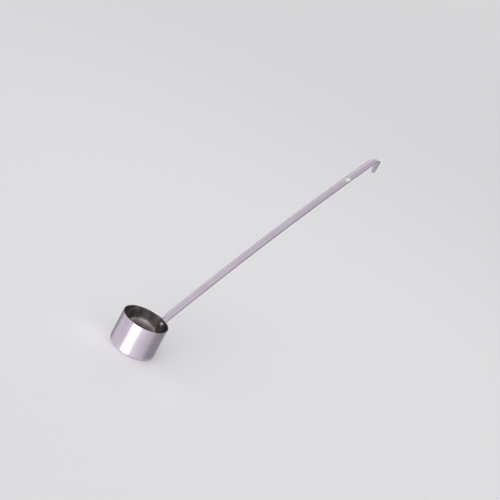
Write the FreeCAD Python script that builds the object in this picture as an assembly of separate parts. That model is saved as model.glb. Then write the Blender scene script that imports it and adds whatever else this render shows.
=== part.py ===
import FreeCAD, Part
import math
import os

# Long-handled water dipper: a deep-drawn steel cup on a pressed strip handle.
# The cup stands on the XY plane with its axis on +Z, and its bottom centre is the origin.
# The handle leaves the rim towards +X, rises in the XZ plane and ends in a hook.
# All lengths are millimetres and all angles are degrees.

# Cup
cup_diameter = 80.0
cup_height = 57.5
cup_wall = 0.8
cup_floor = 0.8
cup_corner_radius = 8.0

# Handle strip
strip_thickness = 1.2
strip_width = 16.0
strip_edge_rise = 2.2
edge_radius = 5.0

# Handle path
tab_length = 20.0
bend_drop = 6.3
neck_bend_radius = 8.0
rise_angle = 53.1
neck_length = 6.0
run_length = 457.0
bow_radius = 4220.0

# Hanging hole
hole_diameter = 9.5
hole_from_hook = 56.0

# Hook
tongue_width = 12.6
tongue_edge_rise = 0.8
shoulder_length = 8.0
hook_bend_radius = 5.0
hook_turn = 130.0
hook_leg_length = 21.5
tip_width = 9.4

# Rivet
rivet_drop = 9.3
rivet_shank_diameter = 4.0
inner_head_diameter = 6.6
inner_head_height = 1.5
outer_head_diameter = 5.8
outer_head_top_diameter = 4.6
outer_head_height = 1.0
shank_bite = 0.5

# One overrun serves every cut
overrun = 1.0

cup_radius = cup_diameter / 2
bore_radius = cup_radius - cup_wall
half_thickness = strip_thickness / 2
upright = 90.0
across = FreeCAD.Vector(0, 1, 0)
up = FreeCAD.Vector(0, 0, 1)
outward = FreeCAD.Vector(1, 0, 0)
center = FreeCAD.Vector(0, 0, 0)


class Station:
    """A place on the handle's path: a point of the strip's upper face and the way it heads."""

    def __init__(self, point, angle):
        self.point = point
        self.angle = angle
        slope = math.radians(angle)
        self.heading = FreeCAD.Vector(math.cos(slope), 0, math.sin(slope))
        self.normal = FreeCAD.Vector(-math.sin(slope), 0, math.cos(slope))

    def at(self, side, rise):
        """A point of the section here, given sideways and along the upper face's normal."""
        return self.point + across * side + self.normal * rise

    def ahead(self, length):
        """The station a straight length further on."""
        return Station(self.point + self.heading * length, self.angle)

    def bend_center(self, radius):
        return self.point - self.normal * radius

    def bent(self, radius, turn):
        """The station after a bend away from the upper face."""
        after = Station(center, self.angle - turn)
        after.point = self.bend_center(radius) + after.normal * radius
        return after


def ring_section(points):
    """Turn the radius and height points of (kind, points) steps into a closed face."""
    edges = []
    for kind, ends in points:
        corners = [FreeCAD.Vector(radius, 0, height) for radius, height in ends]
        if kind == "line":
            edges.append(Part.LineSegment(*corners).toShape())
        else:
            edges.append(Part.Arc(*corners).toShape())
    return Part.Face(Part.Wire(edges))


def arc_middle(middle, radius, angle):
    """The point of a round corner at an angle from its middle."""
    slope = math.radians(angle)
    return (middle[0] + radius * math.cos(slope), middle[1] + radius * math.sin(slope))


def cup():
    """A straight-sided cup drawn from sheet, with a round bottom corner and a plain trimmed rim."""
    inner_corner = cup_corner_radius - cup_wall
    outer_middle = (cup_radius - cup_corner_radius, cup_corner_radius)
    inner_middle = (bore_radius - inner_corner, cup_floor + inner_corner)
    down_right = -45
    outline = [
        ("line", [(0, 0), (outer_middle[0], 0)]),
        ("arc", [
            (outer_middle[0], 0),
            arc_middle(outer_middle, cup_corner_radius, down_right),
            (cup_radius, outer_middle[1]),
        ]),
        ("line", [(cup_radius, outer_middle[1]), (cup_radius, cup_height)]),
        ("line", [(cup_radius, cup_height), (bore_radius, cup_height)]),
        ("line", [(bore_radius, cup_height), (bore_radius, inner_middle[1])]),
        ("arc", [
            (bore_radius, inner_middle[1]),
            arc_middle(inner_middle, inner_corner, down_right),
            (inner_middle[0], cup_floor),
        ]),
        ("line", [(inner_middle[0], cup_floor), (0, cup_floor)]),
        ("line", [(0, cup_floor), (0, 0)]),
    ]
    body = ring_section(outline).revolve(center, up)
    return body.cut(rivet_hole())


def gutter(width, rise):
    """Mid-line of a flat-floored strip with rolled-up edges, as (side, height, slope) marks."""
    edge_angle = math.acos(1 - rise / edge_radius)
    floor_half = width / 2 - (edge_radius + half_thickness) * math.sin(edge_angle)
    marks = [(floor_half, -half_thickness, 0)]
    for slope in (edge_angle / 2, edge_angle):
        side = floor_half + edge_radius * math.sin(slope)
        height = edge_radius * (1 - math.cos(slope)) - half_thickness
        marks.append((side, height, slope))
    return marks


def saddle(width, floor_half):
    """Mid-line of the strip where it hugs the cup, with marks like the gutter's."""
    radius = cup_radius + half_thickness
    edge_angle = math.asin(width / 2 / (cup_radius + strip_thickness))
    floor_angle = math.asin(floor_half / radius)
    marks = []
    for slope in (floor_angle, (floor_angle + edge_angle) / 2, edge_angle):
        marks.append((radius * math.sin(slope), cup_radius - radius * math.cos(slope), slope))
    return marks


def strip_wire(station, marks):
    """Closed outline of the strip: floor, rolled edges and plain sheared rims."""

    def spot(mark, side_sign, face_sign):
        side, height, slope = mark
        offset = face_sign * half_thickness
        return station.at(
            side_sign * (side - offset * math.sin(slope)),
            height + offset * math.cos(slope),
        )

    floor_mark, edge_mark, end_mark = marks
    floor_slope = floor_mark[2]

    def floor_edge(face_sign):
        ends = [spot(floor_mark, -1, face_sign), spot(floor_mark, 1, face_sign)]
        if floor_slope == 0:
            return Part.LineSegment(*ends).toShape()
        return Part.Arc(ends[0], station.at(0, (face_sign - 1) * half_thickness), ends[1]).toShape()

    def edge_arc(side_sign, face_sign):
        return Part.Arc(
            spot(floor_mark, side_sign, face_sign),
            spot(edge_mark, side_sign, face_sign),
            spot(end_mark, side_sign, face_sign),
        ).toShape()

    def rim_edge(side_sign):
        ends = [spot(end_mark, side_sign, 1), spot(end_mark, side_sign, -1)]
        return Part.LineSegment(*ends).toShape()

    edges = [
        floor_edge(1),
        edge_arc(1, 1),
        rim_edge(1),
        edge_arc(1, -1),
        floor_edge(-1),
        edge_arc(-1, -1),
        rim_edge(-1),
        edge_arc(-1, 1),
    ]
    return Part.Wire(edges)


def straight_piece(station, marks, length):
    return Part.Face(strip_wire(station, marks)).extrude(station.heading * length)


def bent_piece(station, marks, radius, turn):
    section = Part.Face(strip_wire(station, marks))
    return section.revolve(station.bend_center(radius), across, turn)


def changing_piece(first, first_marks, last, last_marks):
    wires = [strip_wire(first, first_marks), strip_wire(last, last_marks)]
    return Part.makeLoft(wires, True, True)


def round_end(tip, width, thickness_room):
    """What lies outside a full-round strip end: a block less the rounded plan."""
    half = width / 2
    deep = tip.normal * (2 * thickness_room)
    start = tip.ahead(-half)
    back = start.at(-half, -thickness_room)
    nose = tip.at(0, -thickness_room)
    front = start.at(half, -thickness_room)
    far_front = tip.ahead(overrun).at(half + overrun, -thickness_room)
    far_back = tip.ahead(overrun).at(-half - overrun, -thickness_room)
    wide_front = start.at(half + overrun, -thickness_room)
    wide_back = start.at(-half - overrun, -thickness_room)
    edges = [
        Part.Arc(back, nose, front).toShape(),
        Part.LineSegment(front, wide_front).toShape(),
        Part.LineSegment(wide_front, far_front).toShape(),
        Part.LineSegment(far_front, far_back).toShape(),
        Part.LineSegment(far_back, wide_back).toShape(),
        Part.LineSegment(wide_back, back).toShape(),
    ]
    return Part.Face(Part.Wire(edges)).extrude(deep)


run_marks = gutter(strip_width, strip_edge_rise)
tongue_marks = gutter(tongue_width, tongue_edge_rise)
tip_marks = gutter(tip_width, tongue_edge_rise)
tab_marks = saddle(strip_width, run_marks[0][0])

bend_start = Station(FreeCAD.Vector(cup_radius, 0, cup_height - bend_drop), upright)
tab_end = bend_start.ahead(-tab_length)
neck_turn = upright - rise_angle
neck_start = bend_start.bent(neck_bend_radius, neck_turn)
run_start = neck_start.ahead(neck_length)
run_turn = math.degrees(run_length / bow_radius)
run_end = run_start.bent(bow_radius, run_turn)
hook_start = run_end.ahead(shoulder_length)
leg_start = hook_start.bent(hook_bend_radius, hook_turn)
leg_end = leg_start.ahead(hook_leg_length)
tip_start = leg_end.ahead(-tip_width / 2)
hole_turn = math.degrees((run_length - hole_from_hook) / bow_radius)
hole_station = run_start.bent(bow_radius, hole_turn)


def rivet_hole():
    """The hole that the rivet's shank fills, through the cup's wall and the tab."""
    start = FreeCAD.Vector(bore_radius - overrun, 0, cup_height - rivet_drop)
    depth = cup_wall + strip_thickness + 2 * overrun
    return Part.makeCylinder(rivet_shank_diameter / 2, depth, start, outward)


def handle():
    """One pressed strip: tab on the cup, neck bend, bowed gutter, shoulder, hook."""
    pieces = [
        straight_piece(tab_end, tab_marks, tab_length),
        bent_piece(bend_start, tab_marks, neck_bend_radius, neck_turn),
        changing_piece(neck_start, tab_marks, run_start, run_marks),
        bent_piece(run_start, run_marks, bow_radius, run_turn),
        changing_piece(run_end, run_marks, hook_start, tongue_marks),
        bent_piece(hook_start, tongue_marks, hook_bend_radius, hook_turn),
        changing_piece(leg_start, tongue_marks, tip_start, tip_marks),
        straight_piece(tip_start, tip_marks, tip_width / 2),
    ]
    body = pieces[0].multiFuse(pieces[1:])
    room = strip_thickness + strip_edge_rise + overrun
    tab_tip = Station(tab_end.point, -upright)
    body = body.cut(round_end(tab_tip, strip_width, room))
    body = body.cut(round_end(leg_end, tip_width, room))
    hole_start = hole_station.at(0, -strip_thickness - overrun)
    hole_depth = strip_thickness + 2 * overrun
    hole = Part.makeCylinder(hole_diameter / 2, hole_depth, hole_start, hole_station.normal)
    return body.cut([hole, rivet_hole()])


def upright_cylinder(radius):
    """A cylinder on the cup's axis that is taller than the rivet's heads."""
    start = FreeCAD.Vector(0, 0, cup_height - 2 * rivet_drop)
    return Part.makeCylinder(radius, 2 * rivet_drop, start)


def inner_head():
    """The dome that stands on the cup's bore."""
    half = inner_head_diameter / 2
    rim_x = math.sqrt(bore_radius ** 2 - half ** 2)
    ball_radius = (half ** 2 + inner_head_height ** 2) / (2 * inner_head_height)
    ball_x = rim_x - inner_head_height + ball_radius
    ball = Part.makeSphere(ball_radius, FreeCAD.Vector(ball_x, 0, cup_height - rivet_drop))
    return ball.common(upright_cylinder(bore_radius))


def outer_head():
    """The low set head that stands on the tab and tapers to a flat top."""
    tab_radius = cup_radius + strip_thickness
    half = outer_head_diameter / 2
    rim_x = math.sqrt(tab_radius ** 2 - half ** 2)
    start = FreeCAD.Vector(rim_x, 0, cup_height - rivet_drop)
    head = Part.makeCone(half, outer_head_top_diameter / 2, outer_head_height, start, outward)
    return head.cut(upright_cylinder(tab_radius))


def rivet():
    """A solid rivet: domed head on the cup's inner wall, shank, and a set head on the tab."""
    start = FreeCAD.Vector(bore_radius - shank_bite, 0, cup_height - rivet_drop)
    length = cup_wall + strip_thickness + 2 * shank_bite
    shank = Part.makeCylinder(rivet_shank_diameter / 2, length, start, outward)
    return shank.fuse([inner_head(), outer_head()]).removeSplitter()


def save(name, shape):
    """Write one sub-part and print what it is."""
    shape.exportStep("parts/" + name + ".step")
    print(name, "solids", len(shape.Solids), "valid", shape.isValid(), "volume", round(shape.Volume, 1))


os.makedirs("parts", exist_ok=True)
save("cup", cup())
save("handle", handle())
save("rivet", rivet())
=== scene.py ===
import math

import bpy
from mathutils import Matrix, Vector


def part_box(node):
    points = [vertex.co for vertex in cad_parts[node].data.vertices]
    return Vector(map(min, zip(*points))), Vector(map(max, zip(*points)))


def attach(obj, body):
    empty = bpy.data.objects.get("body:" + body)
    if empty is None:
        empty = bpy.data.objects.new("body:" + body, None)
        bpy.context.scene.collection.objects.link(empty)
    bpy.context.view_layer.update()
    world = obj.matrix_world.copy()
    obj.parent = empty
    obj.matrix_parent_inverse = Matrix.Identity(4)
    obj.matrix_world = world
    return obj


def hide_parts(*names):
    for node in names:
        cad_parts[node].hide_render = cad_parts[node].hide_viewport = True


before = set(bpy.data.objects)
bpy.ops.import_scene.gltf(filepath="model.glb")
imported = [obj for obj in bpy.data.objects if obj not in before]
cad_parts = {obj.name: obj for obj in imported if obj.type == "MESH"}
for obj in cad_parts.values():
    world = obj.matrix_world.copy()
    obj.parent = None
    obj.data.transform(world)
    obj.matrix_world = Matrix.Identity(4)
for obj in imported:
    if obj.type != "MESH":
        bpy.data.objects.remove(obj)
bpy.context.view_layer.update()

# Looks of the water dipper: a polished drawn cup, a satin pressed strip handle and a rivet.
# Everything is in metres, in the same frame as the construction.

mm = 0.001
# Slack when two places are compared
hair = 0.0001 * mm

# Sheet, path and fastener sizes of the real object
wall = 0.8 * mm
corner_radius = 8.0 * mm
cup_rim_round = 0.3 * mm
strip_thickness = 1.2 * mm
strip_width = 16.0 * mm
strip_edge_rise = 2.2 * mm
edge_radius = 5.0 * mm
strip_rim_round = 0.3 * mm
tab_length = 20.0 * mm
bend_drop = 6.3 * mm
neck_bend_radius = 8.0 * mm
rise_angle = 53.1
neck_length = 6.0 * mm
run_length = 457.0 * mm
bow_radius = 4220.0 * mm
hole_diameter = 9.5 * mm
hole_from_hook = 56.0 * mm
hole_rim_round = 0.25 * mm
rivet_hole_rim_round = 0.05 * mm
tongue_width = 12.6 * mm
tongue_edge_rise = 0.8 * mm
shoulder_length = 8.0 * mm
hook_bend_radius = 5.0 * mm
hook_turn = 130.0
hook_leg_length = 21.5 * mm
tip_width = 9.4 * mm
rivet_drop = 9.3 * mm
shank_radius = 2.0 * mm
inner_head_radius = 3.3 * mm
inner_head_height = 1.5 * mm
outer_head_radius = 2.9 * mm
outer_head_top_radius = 2.3 * mm
outer_head_height = 1.0 * mm
head_lift = 0.15 * mm

# What the frame gives
cup_low, cup_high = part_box("cup")
cup_radius = (cup_high.y - cup_low.y) / 2
cup_height = cup_high.z
bore_radius = cup_radius - wall
rivet_height = cup_height - rivet_drop
half_thickness = strip_thickness / 2

across = Vector((0.0, 1.0, 0.0))


class Station:
    """A place on the handle's path: a point of the strip's upper face and the way it heads."""

    def __init__(self, point, angle):
        self.point = point
        self.angle = angle
        slope = math.radians(angle)
        self.heading = Vector((math.cos(slope), 0.0, math.sin(slope)))
        self.normal = Vector((-math.sin(slope), 0.0, math.cos(slope)))

    def at(self, side, rise):
        return self.point + across * side + self.normal * rise

    def ahead(self, length):
        return Station(self.point + self.heading * length, self.angle)

    def bent(self, radius, turn):
        center = self.point - self.normal * radius
        after = Station(center, self.angle - turn)
        after.point = center + after.normal * radius
        return after


class Gutter:
    """Section with a flat floor and rolled-up edges."""

    def __init__(self, width, rise):
        self.edge_angle = math.acos(1 - rise / edge_radius)
        self.floor_half = width / 2 - (edge_radius + half_thickness) * math.sin(self.edge_angle)

    def side_of(self, kind, share):
        """Sideways place of a share of the floor's half, or of the rolled edge."""
        if kind == "floor":
            return share * self.floor_half
        sign = math.copysign(1.0, share)
        inset = strip_rim_round / edge_radius
        slope = abs(share) * (self.edge_angle - inset)
        return sign * (self.floor_half + edge_radius * math.sin(slope))

    def profile(self, side):
        """Height and slope of the mid-line at a sideways place."""
        beyond = abs(side) - self.floor_half
        if beyond <= 0:
            return -half_thickness, 0.0
        slope = math.asin(beyond / edge_radius)
        return edge_radius * (1 - math.cos(slope)) - half_thickness, math.copysign(slope, side)


class Saddle:
    """Section that hugs the cup's wall."""

    def __init__(self, width, floor_half):
        self.radius = cup_radius + half_thickness
        inset = strip_rim_round / self.radius
        self.edge_angle = math.asin(width / 2 / (cup_radius + strip_thickness)) - inset
        self.floor_angle = math.asin(floor_half / self.radius)

    def side_of(self, kind, share):
        if kind == "floor":
            return self.radius * math.sin(share * self.floor_angle)
        sign = math.copysign(1.0, share)
        slope = self.floor_angle + abs(share) * (self.edge_angle - self.floor_angle)
        return sign * self.radius * math.sin(slope)

    def profile(self, side):
        slope = math.asin(side / self.radius)
        return cup_radius - self.radius * math.cos(slope), slope


def on_section(station, section, side):
    """Point and normal of the strip's mid-surface."""
    height, slope = section.profile(side)
    normal = station.normal * math.cos(slope) - across * math.sin(slope)
    return station.at(side, height), normal


class Path:
    """The handle's path as pieces that follow each other, each with its sections and its turn."""

    def __init__(self, start):
        self.pieces = []
        self.end = start
        self.length = 0.0

    def add(self, length, section, next_section=None, radius=None):
        self.pieces.append((self.length, length, self.end, section, next_section, radius))
        if radius is None:
            self.end = self.end.ahead(length)
        else:
            self.end = self.end.bent(radius, math.degrees(length / radius))
        self.length += length
        return self.length

    def piece_at(self, s):
        found = self.pieces[0]
        for piece in self.pieces:
            if s >= piece[0] - hair:
                found = piece
        return found

    def spot(self, s, kind, share):
        """Mid-surface point and normal where a lengthwise line of the strip passes s."""
        start, length, station, section, next_section, radius = self.piece_at(s)
        along = s - start
        if next_section is not None:
            first = on_section(station, section, section.side_of(kind, share))
            last_side = next_section.side_of(kind, share)
            last = on_section(station.ahead(length), next_section, last_side)
            part = along / length
            return first[0].lerp(last[0], part), first[1].lerp(last[1], part).normalized()
        return self.flat_spot(s, section.side_of(kind, share))

    def flat_spot(self, s, side):
        """Mid-surface point and normal at a true sideways place, where the section is constant."""
        start, length, station, section, next_section, radius = self.piece_at(s)
        along = s - start
        if radius is None:
            here = station.ahead(along)
        else:
            here = station.bent(radius, math.degrees(along / radius))
        return on_section(here, section, side)


run_section = Gutter(strip_width, strip_edge_rise)
tongue_section = Gutter(tongue_width, tongue_edge_rise)
tip_section = Gutter(tip_width, tongue_edge_rise)
tab_section = Saddle(strip_width, run_section.floor_half)

tab_start = Station(Vector((cup_radius, 0.0, cup_height - bend_drop - tab_length)), 90.0)
path = Path(tab_start)
tab_done = path.add(tab_length, tab_section)
bend_done = path.add(
    neck_bend_radius * math.radians(90.0 - rise_angle), tab_section, radius=neck_bend_radius
)
neck_done = path.add(neck_length, tab_section, run_section)
run_done = path.add(run_length, run_section, radius=bow_radius)
shoulder_done = path.add(shoulder_length, run_section, tongue_section)
hook_done = path.add(
    hook_bend_radius * math.radians(hook_turn), tongue_section, radius=hook_bend_radius
)
leg_done = path.add(hook_leg_length - tip_width / 2, tongue_section, tip_section)
path.add(tip_width / 2, tip_section)


class Sheet:
    """Mid-surface of a sheet part as points, normals, faces and rims, thickened at the end."""

    def __init__(self):
        self.points = []
        self.normals = []
        self.faces = []
        self.rims = []

    def vertex(self, spot):
        self.points.append(spot[0])
        self.normals.append(spot[1])
        return len(self.points) - 1

    def rim(self, loop, rounding):
        """A closed edge, in order, with the radius that breaks it."""
        self.rims.append((loop, rounding))

    def hole(self, boundary, place, center, radius, rounding, rings):
        """Fill between a block's boundary of (vertex, u, v) and a round hole at a center."""
        last = [vertex for vertex, u, v in boundary]
        for ring in range(1, rings + 1):
            part = ring / rings
            row = []
            for vertex, u, v in boundary:
                du, dv = u - center[0], v - center[1]
                reach = math.hypot(du, dv)
                scale = 1 + part * ((radius + rounding) / reach - 1)
                row.append(self.vertex(place(center[0] + du * scale, center[1] + dv * scale)))
            self.strip(last, row)
            last = row
        self.rim(last, rounding)

    def strip(self, first, second):
        """Faces between two closed loops."""
        count = len(first)
        for j in range(count):
            k = (j + 1) % count
            self.faces.append((first[j], first[k], second[k], second[j]))

    def thicken(self, half):
        """Points and faces of the closed body, with broken edges."""
        count = len(self.points)
        points = [p + n * half for p, n in zip(self.points, self.normals)]
        points += [p - n * half for p, n in zip(self.points, self.normals)]
        faces = list(self.faces)
        faces += [tuple(v + count for v in reversed(face)) for face in self.faces]
        for loop, rounding in self.rims:
            steps = edge_steps(half, rounding)
            size = len(loop)
            rows = [loop]
            outs = []
            for j in range(size):
                tangent = self.points[loop[(j + 1) % size]] - self.points[loop[j - 1]]
                outs.append(self.normals[loop[j]].cross(tangent).normalized())
            for reach, rise in steps:
                row = []
                for j in range(size):
                    base, normal = self.points[loop[j]], self.normals[loop[j]]
                    points.append(base + outs[j] * reach + normal * rise)
                    row.append(len(points) - 1)
                rows.append(row)
            rows.append([v + count for v in loop])
            for first, second in zip(rows, rows[1:]):
                for j in range(size):
                    k = (j + 1) % size
                    faces.append((first[j], first[k], second[k], second[j]))
        return points, faces


def edge_steps(half, rounding):
    """Outward reach and rise of the points of a broken edge, from the upper face to the lower."""
    turns = [math.radians(a) for a in (22.5, 45.0, 67.5, 90.0)]
    upper = [(rounding * math.sin(a), half - rounding + rounding * math.cos(a)) for a in turns]
    return upper + [(reach, -rise) for reach, rise in reversed(upper)]


def make_piece(name, points, faces, materials, face_materials=None):
    """A closed, smooth piece that stands for the node of its name."""
    mesh = bpy.data.meshes.new(name)
    mesh.from_pydata([tuple(p) for p in points], [], faces)
    mesh.polygons.foreach_set("use_smooth", [True] * len(faces))
    for material in materials:
        mesh.materials.append(material)
    if face_materials is not None:
        mesh.polygons.foreach_set("material_index", face_materials)
    mesh.update()
    piece = bpy.data.objects.new("polished_" + name, mesh)
    bpy.context.scene.collection.objects.link(piece)
    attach(piece, "root")
    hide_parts(name)
    return piece


def spread(start, end, count):
    """Evenly spaced values, without the first."""
    return [start + (end - start) * k / count for k in range(1, count + 1)]


def strip_columns():
    """Lengthwise lines of the strip, from its +Y edge to its -Y edge."""
    edge_shares = [1.0, 0.93, 0.8, 0.65, 0.5, 0.35, 0.18]
    floor_shares = [1.0, 0.8, 0.6, 0.4, 0.2]
    half = [("edge", g) for g in edge_shares] + [("floor", f) for f in floor_shares]
    mirrored = [(kind, -share) for kind, share in reversed(half)]
    return half + [("floor", 0.0)] + mirrored


# Blocks of points round the strip's two holes: the rows' spacing, how many rows lie on each
# side, and how many columns stay outside the block along each edge
block_step = 0.95 * mm
rivet_reach = 4
rivet_margin = 4
hole_reach = 8
hole_margin = 1


def strip_rows(hole_s, rivet_s):
    """Places along the path where the strip has a row of points."""
    tab_cap = strip_width / 2
    rows = [tab_cap]
    rivet_rows = [rivet_s + k * block_step for k in range(-rivet_reach, rivet_reach + 1)]
    rows += spread(tab_cap, rivet_rows[0], 2) + rivet_rows[1:]
    rows += spread(rows[-1], tab_done, 2)
    rows += spread(tab_done, bend_done, 8)
    rows += spread(bend_done, neck_done, 8)
    hole_rows = [hole_s + k * block_step for k in range(-hole_reach, hole_reach + 1)]
    rows += spread(neck_done, hole_rows[0], 84) + hole_rows[1:]
    rows += spread(hole_rows[-1], run_done, 12)
    rows += spread(run_done, shoulder_done, 10)
    rows += spread(shoulder_done, hook_done, 32)
    rows += spread(hook_done, leg_done, 12)
    return rows


def block_loop(grid, rows, columns, row_range, column_range, section):
    """Boundary of a block of cells as (vertex, along, side), in order."""
    low, high = row_range
    left, right = column_range
    corners = [(low, i) for i in range(left, right)]
    corners += [(j, right) for j in range(low, high)]
    corners += [(high, i) for i in range(right, left, -1)]
    corners += [(j, left) for j in range(high, low, -1)]
    return [(grid[j][i], rows[j], section.side_of(*columns[i])) for j, i in corners]


def add_round_end(sheet, grid_row, columns, section, s_center, facing, steps):
    """Carry the strip's lengthwise lines round its full-round end; returns the outer line."""
    middle = len(columns) // 2
    rings = []
    for i in range(middle):
        reach = abs(section.side_of(*columns[i]))
        ring = [grid_row[i]]
        for k in range(1, steps):
            turn = math.pi * k / steps
            s = s_center + facing * reach * math.sin(turn)
            ring.append(sheet.vertex(end_spot(section, s, reach * math.cos(turn))))
        ring.append(grid_row[len(columns) - 1 - i])
        rings.append(ring)
    for outer, inner in zip(rings, rings[1:]):
        for k in range(steps):
            face = (outer[k], inner[k], inner[k + 1], outer[k + 1])
            sheet.faces.append(face if facing > 0 else tuple(reversed(face)))
    hub = grid_row[middle]
    for k in range(steps):
        face = (rings[-1][k], hub, rings[-1][k + 1])
        sheet.faces.append(face if facing > 0 else tuple(reversed(face)))
    return rings[0]


def end_spot(section, s, side):
    """Spot on a round end, whose section is constant and whose path is straight."""
    if section is tab_section:
        station = tab_start.ahead(s)
    else:
        station = path.pieces[-1][2].ahead(s - leg_done)
    return on_section(station, section, side)


def build_handle(materials):
    """The pressed strip: tab, neck, bowed gutter with its hole, shoulder, hook and tip."""
    sheet = Sheet()
    columns = strip_columns()
    hole_s = run_done - hole_from_hook
    rivet_s = rivet_height - tab_start.point.z
    rows = strip_rows(hole_s, rivet_s)
    grid = [[sheet.vertex(path.spot(s, *column)) for column in columns] for s in rows]
    hole_row = min(range(len(rows)), key=lambda j: abs(rows[j] - hole_s))
    rivet_row = min(range(len(rows)), key=lambda j: abs(rows[j] - rivet_s))
    last_column = len(columns) - 1
    blocks = [
        (rivet_row - rivet_reach, rivet_row + rivet_reach,
         rivet_margin, last_column - rivet_margin),
        (hole_row - hole_reach, hole_row + hole_reach,
         hole_margin, last_column - hole_margin),
    ]

    def inside_block(j, i):
        return any(low <= j < high and left <= i < right for low, high, left, right in blocks)

    for j in range(len(rows) - 1):
        for i in range(last_column):
            if not inside_block(j, i):
                row, above = grid[j], grid[j + 1]
                sheet.faces.append((row[i], row[i + 1], above[i + 1], above[i]))
    holes = [
        (rivet_s, shank_radius, rivet_hole_rim_round, tab_section, 3),
        (hole_s, hole_diameter / 2, hole_rim_round, run_section, 4),
    ]
    for block, (s, radius, rounding, section, rings) in zip(blocks, holes):
        low, high, left, right = block
        loop = block_loop(grid, rows, columns, (low, high), (left, right), section)
        sheet.hole(loop, path.flat_spot, (s, 0.0), radius, rounding, rings)
    steps = 32
    tip = add_round_end(sheet, grid[-1], columns, tip_section, leg_done, 1, steps)
    tab = add_round_end(sheet, grid[0], columns, tab_section, strip_width / 2, -1, steps)
    outline = [row[0] for row in grid[:-1]] + tip
    outline += [row[last_column] for row in reversed(grid[:-1])][:-1] + tab[::-1][:-1]
    sheet.rim(outline, strip_rim_round)
    points, faces = sheet.thicken(half_thickness)
    return make_piece("handle", points, faces, materials)


def corner_points(middle, radius, start, end, steps):
    """Points of a round corner of the cup's outline."""
    found = []
    for k in range(steps + 1):
        turn = math.radians(start + (end - start) * k / steps)
        found.append((middle[0] + radius * math.cos(turn), middle[1] + radius * math.sin(turn)))
    return found


def wall_heights(low, high, block_rows):
    """Heights of the wall's rings, with the rivet block's rows among them."""
    rows = spread(low, block_rows[0], 12) + block_rows[1:]
    return rows + spread(rows[-1], high, 5)


outer_skin, inner_skin, base_skin = 0, 1, 2


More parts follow.
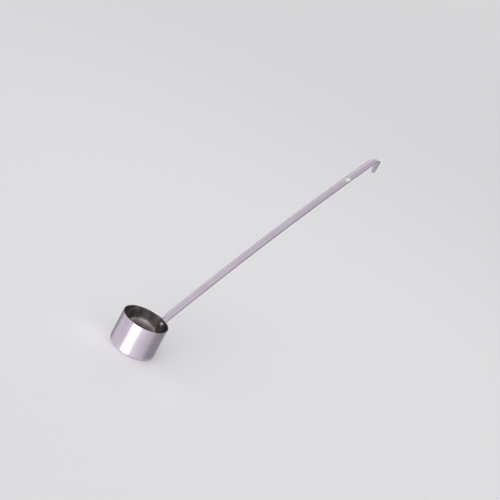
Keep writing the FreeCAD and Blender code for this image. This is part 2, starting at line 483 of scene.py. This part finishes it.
def build_cup(outer_material, inner_material, base_material):
    """The drawn cup: outer skin, broken rim and inner skin as rings round the axis."""
    segments = 192
    corner_steps = 16
    rim_steps = 4
    half_block = 3
    cell = 2 * math.pi * cup_radius / segments
    block_rows = [rivet_height + k * cell for k in range(-half_block, half_block + 1)]
    inner_corner = corner_radius - wall
    outer_middle = (cup_radius - corner_radius, corner_radius)
    inner_middle = (bore_radius - inner_corner, wall + inner_corner)
    floor_radii = spread(0.0, outer_middle[0], 20)
    rim_middle_out = (cup_radius - cup_rim_round, cup_height - cup_rim_round)
    rim_middle_in = (bore_radius + cup_rim_round, cup_height - cup_rim_round)
    outer = [(r, 0.0) for r in floor_radii]
    outer += corner_points(outer_middle, corner_radius, -90, 0, corner_steps)[1:]
    outer += [(cup_radius, z) for z in wall_heights(corner_radius, rim_middle_out[1], block_rows)]
    rim = corner_points(rim_middle_out, cup_rim_round, 0, 90, rim_steps)[1:]
    rim += corner_points(rim_middle_in, cup_rim_round, 90, 180, rim_steps)
    inner_heights = wall_heights(inner_middle[1], rim_middle_in[1], block_rows)
    inner = [(bore_radius, z) for z in reversed(inner_heights[:-1])]
    inner += corner_points(inner_middle, inner_corner, 0, -90, corner_steps)
    inner += [(r, wall) for r in reversed(floor_radii[:-1])]
    outline = outer + rim + inner
    angles = [2 * math.pi * k / segments for k in range(segments)]
    points = [Vector((r * math.cos(a), r * math.sin(a), z)) for r, z in outline for a in angles]
    faces, kinds = [], []
    base_rings = len(floor_radii)
    outer_rings = len(outer) + rim_steps

    def in_block(j, k):
        first, last = outline[j], outline[j + 1]
        rows_fit = block_rows[0] - hair <= min(first[1], last[1])
        rows_fit = rows_fit and max(first[1], last[1]) <= block_rows[-1] + hair
        return rows_fit and (k < half_block or k >= segments - half_block)

    for j in range(len(outline) - 1):
        for k in range(segments):
            if in_block(j, k):
                continue
            n = (k + 1) % segments
            a, b = j * segments, (j + 1) * segments
            faces.append((a + k, a + n, b + n, b + k))
            if j < base_rings - 1:
                kinds.append(base_skin)
            else:
                kinds.append(outer_skin if j < outer_rings else inner_skin)
    points.append(Vector((0.0, 0.0, 0.0)))
    points.append(Vector((0.0, 0.0, wall)))
    under, over = len(points) - 2, len(points) - 1
    top_ring = (len(outline) - 1) * segments
    for k in range(segments):
        n = (k + 1) % segments
        faces.append((under, n, k))
        kinds.append(base_skin)
        faces.append((top_ring + k, top_ring + n, over))
        kinds.append(inner_skin)

    def bore_ring(radius_of_wall, outside):
        """Fill a wall's block up to the rivet's hole; returns the hole's ring."""
        ring_at = {}
        for j, (r, z) in enumerate(outline):
            on_side = (j < len(outer)) == outside
            if on_side and abs(r - radius_of_wall) < hair:
                for row, height in enumerate(block_rows):
                    if abs(z - height) < hair:
                        ring_at[row] = j
        size = 2 * half_block
        cells = [(0, i) for i in range(size)] + [(j, size) for j in range(size)]
        cells += [(size, i) for i in range(size, 0, -1)] + [(j, 0) for j in range(size, 0, -1)]
        loop = []
        for j, i in cells:
            segment = (i - half_block) % segments
            loop.append(ring_at[j] * segments + segment)
        last = loop
        rings = 3
        for ring in range(1, rings + 1):
            row = []
            for vertex in loop:
                start = points[vertex]
                side, rise = start.y, start.z - rivet_height
                reach = math.hypot(side, rise)
                scale = 1 + ring / rings * (shank_radius / reach - 1)
                y = side * scale
                x = math.sqrt(radius_of_wall ** 2 - y ** 2)
                points.append(Vector((x, y, rivet_height + rise * scale)))
                row.append(len(points) - 1)
            for j in range(len(loop)):
                n = (j + 1) % len(loop)
                face = (last[j], last[n], row[n], row[j])
                faces.append(face if outside else tuple(reversed(face)))
                kinds.append(outer_skin if outside else inner_skin)
            last = row
        return last

    outer_hole = bore_ring(cup_radius, True)
    inner_hole = bore_ring(bore_radius, False)
    for j in range(len(outer_hole)):
        n = (j + 1) % len(outer_hole)
        faces.append((outer_hole[j], outer_hole[n], inner_hole[n], inner_hole[j]))
        kinds.append(inner_skin)
    materials = [outer_material, inner_material, base_material]
    return make_piece("cup", points, faces, materials, kinds)


def build_rivet(materials):
    """Domed head inside, shank, and a lower head on the tab."""
    steps = 48
    tab_radius = cup_radius + strip_thickness
    turns = [2 * math.pi * k / steps for k in range(steps)]

    def ring_on_wall(reach, wall_radius):
        ring = []
        for turn in turns:
            side = reach * math.sin(turn)
            x = math.sqrt(wall_radius ** 2 - side ** 2)
            ring.append(Vector((x, side, rivet_height + reach * math.cos(turn))))
        return ring

    def head_rings(profile, head_radius, wall_radius, facing):
        """Rings of a head, from a profile of (reach, height) marks above its rim's plane."""
        base_x = math.sqrt(wall_radius ** 2 - head_radius ** 2)
        rings = []
        for reach, height in profile:
            x = base_x + facing * height
            rings.append([
                Vector((x, reach * math.sin(t), rivet_height + reach * math.cos(t))) for t in turns
            ])
        return rings, Vector((base_x + facing * profile[-1][1], 0.0, rivet_height))

    ball = (inner_head_radius ** 2 + inner_head_height ** 2) / (2 * inner_head_height)
    room = inner_head_height - head_lift
    dome = []
    for share in (1.0, 0.99, 0.96, 0.9, 0.8, 0.66, 0.5, 0.33, 0.16, 0.06):
        reach = inner_head_radius * share
        fall = ball - math.sqrt(ball ** 2 - reach ** 2)
        dome.append((reach, inner_head_height - room * fall / inner_head_height))
    taper = (outer_head_radius - outer_head_top_radius) / outer_head_height
    cone = [(outer_head_radius - taper * h, h) for h in (head_lift, 0.5 * mm, 0.85 * mm)]
    top = outer_head_top_radius
    cone += [(top, 0.96 * mm), (top - 0.1 * mm, outer_head_height)]
    cone += [(top * share, outer_head_height) for share in (0.8, 0.5, 0.2)]
    inner_dome, inner_crown = head_rings(dome, inner_head_radius, bore_radius, -1)
    outer_dome, outer_crown = head_rings(cone, outer_head_radius, tab_radius, 1)
    rings = list(reversed(inner_dome))
    rings.append(ring_on_wall(inner_head_radius, bore_radius))
    rings.append(ring_on_wall(shank_radius, bore_radius))
    rings.append(ring_on_wall(shank_radius, tab_radius))
    rings.append(ring_on_wall(outer_head_radius, tab_radius))
    rings += outer_dome
    points = [p for ring in rings for p in ring] + [inner_crown, outer_crown]
    faces = []
    for j in range(len(rings) - 1):
        for k in range(steps):
            n = (k + 1) % steps
            a, b = j * steps, (j + 1) * steps
            faces.append((a + k, b + k, b + n, a + n))
    first, last = len(points) - 2, len(points) - 1
    final_ring = (len(rings) - 1) * steps
    for k in range(steps):
        n = (k + 1) % steps
        faces.append((first, k, n))
        faces.append((final_ring + k, last, final_ring + n))
    piece = make_piece("rivet", points, faces, materials)
    piece.data.set_sharp_from_angle(angle=math.radians(50))
    return piece


class Shading:
    """Short words for building one metal material."""

    def __init__(self, name):
        self.material = bpy.data.materials.new(name)
        self.material.use_nodes = True
        self.tree = self.material.node_tree
        self.shader = self.tree.nodes["Principled BSDF"]
        self.shader.inputs["Metallic"].default_value = 1.0
        self.place = self.node("ShaderNodeTexCoord").outputs["Object"]

    def node(self, kind, **values):
        made = self.tree.nodes.new(kind)
        for key, value in values.items():
            setattr(made, key, value)
        return made

    def link(self, source, target):
        self.tree.links.new(source, target)

    def math(self, operation, *terms):
        made = self.node("ShaderNodeMath", operation=operation)
        for socket, term in zip(made.inputs, terms):
            self.feed(socket, term)
        return made.outputs[0]

    def feed(self, socket, term):
        if isinstance(term, (int, float, tuple)):
            socket.default_value = term
        else:
            self.link(term, socket)

    def vector(self, operation, *terms):
        made = self.node("ShaderNodeVectorMath", operation=operation)
        for socket, term in zip(made.inputs, terms):
            self.feed(socket, term)
        return made.outputs[0]

    def noise(self, place, stretch, detail=2.0, roughness=0.5):
        """Noise between 0 and 1 of a place stretched by cells per metre."""
        made = self.node("ShaderNodeTexNoise")
        made.inputs["Scale"].default_value = 1.0
        made.inputs["Detail"].default_value = detail
        made.inputs["Roughness"].default_value = roughness
        self.link(self.vector("MULTIPLY", place, stretch), made.inputs["Vector"])
        return made.outputs[0]

    def ramp(self, value, low, high, to_low, to_high):
        made = self.node("ShaderNodeMapRange", interpolation_type="SMOOTHSTEP")
        for socket, term in zip(made.inputs, (value, low, high, to_low, to_high)):
            self.feed(socket, term)
        return made.outputs[0]

    def mix(self, part, first, second):
        made = self.node("ShaderNodeMix", data_type="RGBA")
        self.feed(made.inputs[0], part)
        self.feed(made.inputs[6], first)
        self.feed(made.inputs[7], second)
        return made.outputs[2]

    def bump(self, layers):
        """Normal from (height, depth in metres) layers, one over the other."""
        normal = None
        for height, depth in layers:
            made = self.node("ShaderNodeBump")
            made.inputs["Strength"].default_value = 1.0
            made.inputs["Distance"].default_value = depth
            self.link(height, made.inputs["Height"])
            if normal is not None:
                self.link(normal, made.inputs["Normal"])
            normal = made.outputs[0]
        self.link(normal, self.shader.inputs["Normal"])


def turned_place(shading):
    """Place whose third part runs up the wall and out along the bottom, and the height."""
    parts = shading.node("ShaderNodeSeparateXYZ")
    shading.link(shading.place, parts.inputs[0])
    x, y, z = parts.outputs
    reach = shading.math("SQRT", shading.math("ADD", shading.math("MULTIPLY", x, x),
                                              shading.math("MULTIPLY", y, y)))
    joined = shading.node("ShaderNodeCombineXYZ")
    shading.link(x, joined.inputs[0])
    shading.link(y, joined.inputs[1])
    shading.link(shading.math("ADD", z, reach), joined.inputs[2])
    return joined.outputs[0], z


def turned_steel(name, clean, dull, roughness, anisotropy, wave):
    """Drawn and polished sheet with fine lines round the axis."""
    shading = Shading(name)
    place, height = turned_place(shading)
    lines = shading.noise(place, (60.0, 60.0, 5200.0), 3.0, 0.6)
    coarse = shading.noise(place, (14.0, 14.0, 900.0), 2.0)
    smudge = shading.noise(shading.place, (38.0, 38.0, 26.0), 4.0, 0.6)
    swell = shading.noise(shading.place, (90.0, 90.0, 7.0), 1.0)
    marks = shading.ramp(shading.noise(shading.place, (160.0, 160.0, 900.0), 5.0, 0.7),
                         0.66, 0.74, 0.0, 1.0)
    tone = shading.math("ADD", shading.math("MULTIPLY", lines, 0.45),
                        shading.math("MULTIPLY", smudge, 0.55))
    color = shading.mix(shading.ramp(tone, 0.3, 0.7, 0.0, 1.0), clean, dull)
    rim = shading.ramp(height, cup_height - 1.6 * mm, cup_height - 0.3 * mm, 0.0, 0.35)
    color = shading.mix(rim, color, (0.8, 0.76, 0.8, 1.0))
    shading.link(color, shading.shader.inputs["Base Color"])
    even = shading.ramp(height, 1.5 * mm, corner_radius + mm, 0.5 * roughness, roughness - 0.05)
    rough = shading.math("ADD", even, shading.math("MULTIPLY", smudge, 0.1))
    rough = shading.math("ADD", rough, shading.math("MULTIPLY", marks, 0.06))
    shading.link(rough, shading.shader.inputs["Roughness"])
    shading.shader.inputs["Anisotropic"].default_value = anisotropy
    shading.shader.inputs["Anisotropic Rotation"].default_value = 0.25
    tangent = shading.node("ShaderNodeTangent", direction_type="RADIAL", axis="Z")
    shading.link(tangent.outputs[0], shading.shader.inputs["Tangent"])
    shading.bump([(swell, wave), (coarse, 0.006 * mm), (lines, 0.002 * mm)])
    return shading.material


def inside_steel(name):
    """Inner skin: mirror-polished wall and floor with faint upright streaks and fine rings, in
    colours painted darker than the outer wall's as painted shade inside the cup; the streaks'
    colour and metallic are painted reflection.
    """
    shading = Shading(name)
    place, height = turned_place(shading)
    lines = shading.noise(place, (60.0, 60.0, 5200.0), 3.0, 0.6)
    upright = shading.noise(shading.place, (130.0, 130.0, 14.0), 3.0, 0.6)
    on_wall = shading.ramp(height, 3.0 * mm, corner_radius + mm, 0.0, 1.0)
    # The streaks belong to the wall: on the floor their noise fades to its middle value
    streak = shading.math("ADD", 0.5, shading.math(
        "MULTIPLY", on_wall, shading.math("SUBTRACT", upright, 0.5)))
    smudge = shading.noise(shading.place, (60.0, 60.0, 60.0), 4.0, 0.6)
    # Painted reflection: upright streaks darken the colour and lower the metallic, standing in for
    # mottled reflections in the polished hollow; the same noise also gives a real faint bump
    painted_reflection_streaks = shading.ramp(streak, 0.36, 0.64, 0.0, 1.0)
    # Painted shade: both colours are darker than the outer wall's steel, for the shade inside the
    # cup
    color = shading.mix(painted_reflection_streaks, (0.60, 0.575, 0.57, 1.0), (0.46, 0.44, 0.435, 1.0))
    shading.link(color, shading.shader.inputs["Base Color"])
    rough = shading.math("ADD", 0.06, shading.math("MULTIPLY", smudge, 0.08))
    shading.link(rough, shading.shader.inputs["Roughness"])
    shading.link(shading.ramp(streak, 0.35, 0.65, 0.91, 0.99), shading.shader.inputs["Metallic"])
    shading.bump([(streak, 0.004 * mm), (lines, 0.0005 * mm)])
    return shading.material


def strip_steel(name, clean, dull, roughness):
    """Satin strip with lines along its length."""
    shading = Shading(name)
    lines = shading.noise(shading.place, (70.0, 7000.0, 70.0), 3.0, 0.6)
    coarse = shading.noise(shading.place, (16.0, 1400.0, 16.0), 2.0)
    smudge = shading.noise(shading.place, (45.0, 45.0, 45.0), 4.0, 0.6)
    marks = shading.ramp(shading.noise(shading.place, (230.0, 1300.0, 230.0), 5.0, 0.7),
                         0.66, 0.74, 0.0, 1.0)
    tone = shading.math("ADD", shading.math("MULTIPLY", lines, 0.4),
                        shading.math("MULTIPLY", smudge, 0.6))
    color = shading.mix(shading.ramp(tone, 0.3, 0.7, 0.0, 1.0), clean, dull)
    shading.link(color, shading.shader.inputs["Base Color"])
    rough = shading.math("ADD", roughness - 0.05, shading.math("MULTIPLY", smudge, 0.1))
    rough = shading.math("ADD", rough, shading.math("MULTIPLY", marks, 0.06))
    shading.link(rough, shading.shader.inputs["Roughness"])
    shading.bump([(coarse, 0.003 * mm), (lines, 0.001 * mm)])
    return shading.material


def rivet_steel(name):
    """Pressed, lightly polished rivet."""
    shading = Shading(name)
    smudge = shading.noise(shading.place, (420.0, 420.0, 420.0), 4.0, 0.6)
    pits = shading.noise(shading.place, (2600.0, 2600.0, 2600.0), 2.0)
    color = shading.mix(smudge, (0.56, 0.53, 0.56, 1.0), (0.44, 0.42, 0.44, 1.0))
    shading.link(color, shading.shader.inputs["Base Color"])
    rough = shading.math("ADD", 0.24, shading.math("MULTIPLY", smudge, 0.14))
    shading.link(rough, shading.shader.inputs["Roughness"])
    shading.bump([(pits, 0.002 * mm)])
    return shading.material


def build_floor():
    """Plain pale floor, wide enough to fill the picture."""
    reach = 200.0
    segments = 96
    turns = [2 * math.pi * k / segments for k in range(segments)]
    points = [(reach * math.cos(turn), reach * math.sin(turn), 0.0) for turn in turns]
    mesh = bpy.data.meshes.new("floor")
    mesh.from_pydata(points, [], [tuple(range(segments))])
    floor = bpy.data.objects.new("floor", mesh)
    bpy.context.scene.collection.objects.link(floor)
    material = bpy.data.materials.new("floor")
    material.use_nodes = True
    shader = material.node_tree.nodes["Principled BSDF"]
    shader.inputs["Base Color"].default_value = (0.74, 0.74, 0.75, 1.0)
    shader.inputs["Roughness"].default_value = 0.7
    shader.inputs["Specular IOR Level"].default_value = 0.2
    mesh.materials.append(material)


def build_world():
    """Soft studio surroundings with darker gaps, so that the polished steel shows its form."""
    # Each gap: azimuth, inner and outer half width in degrees, lowest and highest rise, where
    # rise is the height part of a unit direction, and depth: 1 is black, below 0 is brighter
    gaps = [
        (-28.0, 27.0, 46.0, -1.0, 0.90, 0.90),
        (173.0, 2.0, 6.0, -1.0, 0.60, 1.0),
        (146.0, 4.0, 9.0, 0.60, 0.86, 0.60),
        (80.0, 14.0, 26.0, -1.0, 0.52, 1.0),
        (112.0, 5.0, 16.0, 0.66, 0.92, 0.20),
        (-168.0, 16.0, 32.0, 0.62, 0.86, -0.20),
        (-152.0, 38.0, 60.0, -0.10, 0.20, -1.8),
        (-158.5, 18.0, 25.0, -0.10, 0.20, -5.0),
    ]
    fade = 0.07
    world = bpy.data.worlds.new("studio")
    bpy.context.scene.world = world
    world.use_nodes = True
    tree = world.node_tree

    def term(operation, *values):
        made = tree.nodes.new("ShaderNodeMath")
        made.operation = operation
        for socket, value in zip(made.inputs, values):
            if isinstance(value, float):
                socket.default_value = value
            else:
                tree.links.new(value, socket)
        return made.outputs[0]

    def step(value, low, high, start, end):
        made = tree.nodes.new("ShaderNodeMapRange")
        made.interpolation_type = "SMOOTHSTEP"
        tree.links.new(value, made.inputs[0])
        for socket, level in zip(made.inputs[1:], (low, high, start, end)):
            socket.default_value = level
        return made.outputs[0]

    place = tree.nodes.new("ShaderNodeTexCoord")
    parts = tree.nodes.new("ShaderNodeSeparateXYZ")
    tree.links.new(place.outputs["Generated"], parts.inputs[0])
    x, y, z = parts.outputs
    level = term("SQRT", term("ADD", term("MULTIPLY", x, x), term("MULTIPLY", y, y)))
    strength = None
    for azimuth, inner, outer, lowest, highest, depth in gaps:
        turn = math.radians(azimuth)
        along_x = term("MULTIPLY", x, math.cos(turn))
        along_y = term("MULTIPLY", y, math.sin(turn))
        toward = term("DIVIDE", term("ADD", along_x, along_y), level)
        full, none = math.cos(math.radians(inner)), math.cos(math.radians(outer))
        wide = step(toward, none, full, 0.0, depth)
        tall = step(z, lowest - fade, lowest + fade, 0.0, 1.0)
        tall = term("MULTIPLY", tall, step(z, highest - fade, highest + fade, 1.0, 0.0))
        kept = term("SUBTRACT", 1.0, term("MULTIPLY", wide, tall))
        strength = kept if strength is None else term("MULTIPLY", strength, kept)
    background = tree.nodes["Background"]
    tree.links.new(strength, background.inputs["Strength"])
    background.inputs["Color"].default_value = (1.0, 0.99, 1.0, 1.0)


def add_softbox(name, place, width, radiance):
    """A square soft lamp that faces down."""
    data = bpy.data.lights.new(name, "AREA")
    data.shape = "SQUARE"
    data.size = width
    data.energy = radiance * math.pi * width ** 2
    lamp = bpy.data.objects.new(name, data)
    lamp.location = place
    bpy.context.scene.collection.objects.link(lamp)
    lamp.visible_camera = False


def place_camera():
    """Camera at the photograph's angle, fitted to the rim, the cup's outline and the handle."""
    target = Vector((0.1525, 0.0, 0.2072))
    azimuth = math.radians(-52.16)
    elevation = math.radians(17.9)
    roll = math.radians(28.86)
    distance = 1.8
    back = Vector((
        math.sin(azimuth) * math.cos(elevation),
        -math.cos(azimuth) * math.cos(elevation),
        math.sin(elevation),
    ))
    level = Vector((math.cos(azimuth), math.sin(azimuth), 0.0))
    rise = back.cross(level)
    right = level * math.cos(roll) + rise * math.sin(roll)
    up = rise * math.cos(roll) - level * math.sin(roll)
    data = bpy.data.cameras.new("camera")
    data.sensor_width = 36.0
    data.lens = 76.73
    data.clip_start = 0.01
    data.clip_end = 500.0
    camera = bpy.data.objects.new("camera", data)
    bpy.context.scene.collection.objects.link(camera)
    turn = Matrix((right, up, back)).transposed().to_4x4()
    camera.matrix_world = Matrix.Translation(target + back * distance) @ turn
    bpy.context.scene.camera = camera


place_camera()
build_floor()
build_world()
add_softbox("top", (0.45, 0.0, 2.2), width=1.6, radiance=0.8)

wall_metal = turned_steel(
    "cup_wall",
    clean=(0.85, 0.775, 0.88, 1.0),
    dull=(0.78, 0.71, 0.81, 1.0),
    roughness=0.52,
    anisotropy=1.0,
    wave=0.055 * mm,
)
inside_metal = inside_steel("cup_inside")
base_metal = turned_steel(
    "cup_base",
    clean=(0.62, 0.56, 0.64, 1.0),
    dull=(0.54, 0.49, 0.55, 1.0),
    roughness=0.30,
    anisotropy=0.6,
    wave=0.005 * mm,
)
handle_metal = strip_steel(
    "handle_steel",
    clean=(0.56, 0.50, 0.575, 1.0),
    dull=(0.495, 0.44, 0.51, 1.0),
    roughness=0.20,
)
build_cup(wall_metal, inside_metal, base_metal)
build_handle([handle_metal])
build_rivet([rivet_steel("rivet_steel")])

bpy.context.scene.view_settings.view_transform = "Standard"
